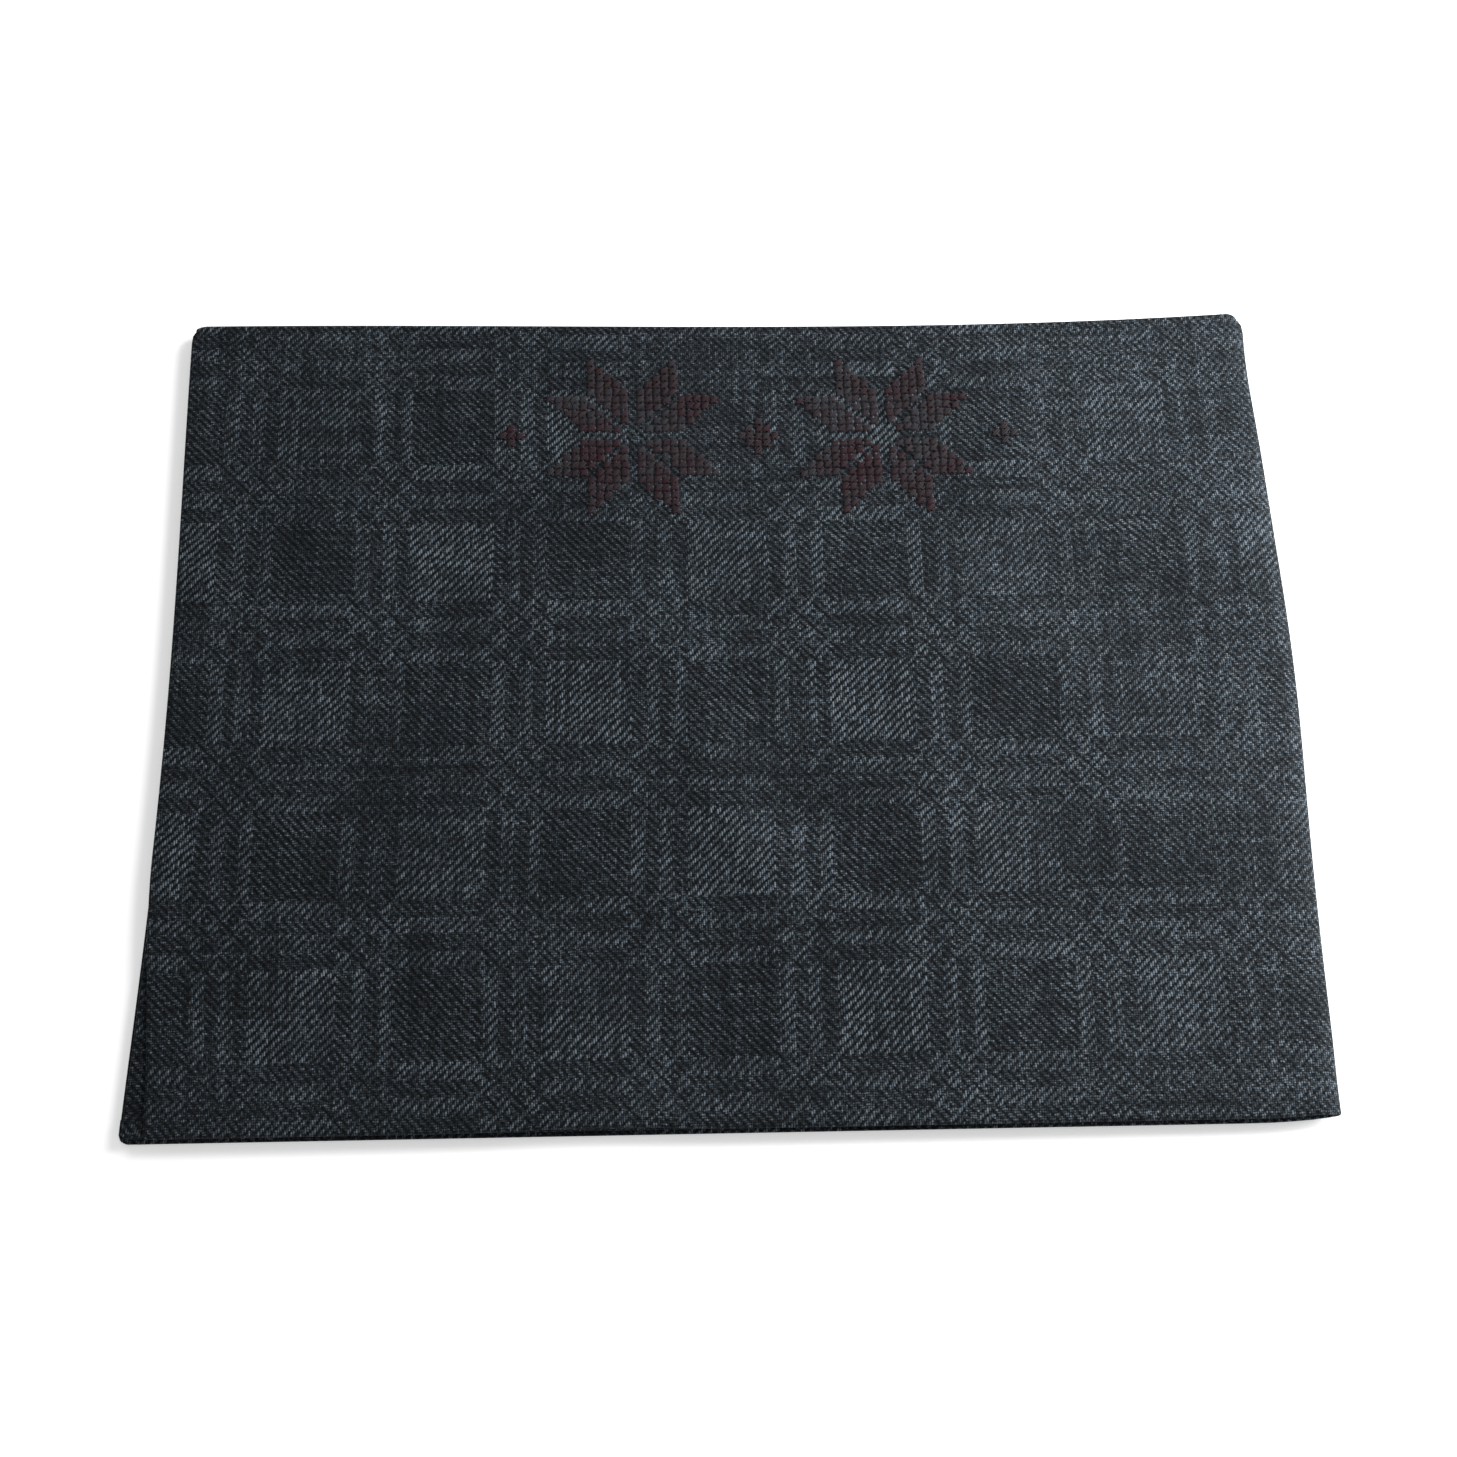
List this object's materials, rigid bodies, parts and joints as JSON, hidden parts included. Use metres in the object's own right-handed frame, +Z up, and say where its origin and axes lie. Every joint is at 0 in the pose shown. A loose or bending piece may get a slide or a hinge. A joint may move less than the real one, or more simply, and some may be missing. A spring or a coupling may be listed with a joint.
{
  "type": "desk mat",
  "caption": "Hemmed linen cloth in a woven damask check, folded in layers to lie flat as a mat, with a cross-stitched star border along the back.",
  "frame": {"origin": "middle of the underside, on the surface that the mat lies on", "axes": "+X along the long side to the spine fold, +Y to the back folds, +Z up through the layers"},
  "size_m": [0.4, 0.3, 0.0074],
  "materials": {
    "damask_cloth": "dark blue-grey linen twill damask, matt with a soft sheen",
    "hem_thread": "dark sewing thread, matt",
    "embroidery_thread": "dark wine-red stranded cotton, faded, soft sheen"
  },
  "bodies": {
    "lower_half": {"bottom_leaf": "damask_cloth", "bottom_leaf_front_hem": "damask_cloth", "bottom_leaf_left_hem": "damask_cloth", "bottom_leaf_front_stitches": "hem_thread", "bottom_leaf_left_stitches": "hem_thread", "lower_inner_leaf": "damask_cloth", "lower_inner_leaf_front_hem": "damask_cloth", "lower_inner_leaf_left_hem": "damask_cloth", "lower_inner_leaf_front_stitches": "hem_thread", "lower_inner_leaf_left_stitches": "hem_thread", "lower_back_fold": "damask_cloth", "lower_back_fold_hem": "damask_cloth", "outer_spine_fold": "damask_cloth", "outer_spine_fold_hem": "damask_cloth", "inner_spine_fold": "damask_cloth", "inner_spine_fold_hem": "damask_cloth"},
    "upper_half": {"upper_inner_leaf": "damask_cloth", "upper_inner_leaf_front_hem": "damask_cloth", "upper_inner_leaf_left_hem": "damask_cloth", "upper_inner_leaf_front_stitches": "hem_thread", "upper_inner_leaf_left_stitches": "hem_thread", "top_leaf": "damask_cloth", "top_leaf_front_hem": "damask_cloth", "top_leaf_left_hem": "damask_cloth", "top_leaf_front_stitches": "hem_thread", "top_leaf_left_stitches": "hem_thread", "upper_back_fold": "damask_cloth", "upper_back_fold_hem": "damask_cloth", "left_star": "embroidery_thread", "right_star": "embroidery_thread", "left_diamond": "embroidery_thread", "middle_diamond": "embroidery_thread", "right_diamond": "embroidery_thread"}
  },
  "joints": [
    {"name": "spine_hinge", "type": "hinge", "parent": "lower_half", "child": "upper_half", "pos_m": [0.2, 0, 0.0037], "axis": [0, 1, 0], "range_deg": [0, 180], "deforming": ["outer_spine_fold", "outer_spine_fold_hem", "inner_spine_fold", "inner_spine_fold_hem"]}
  ]
}
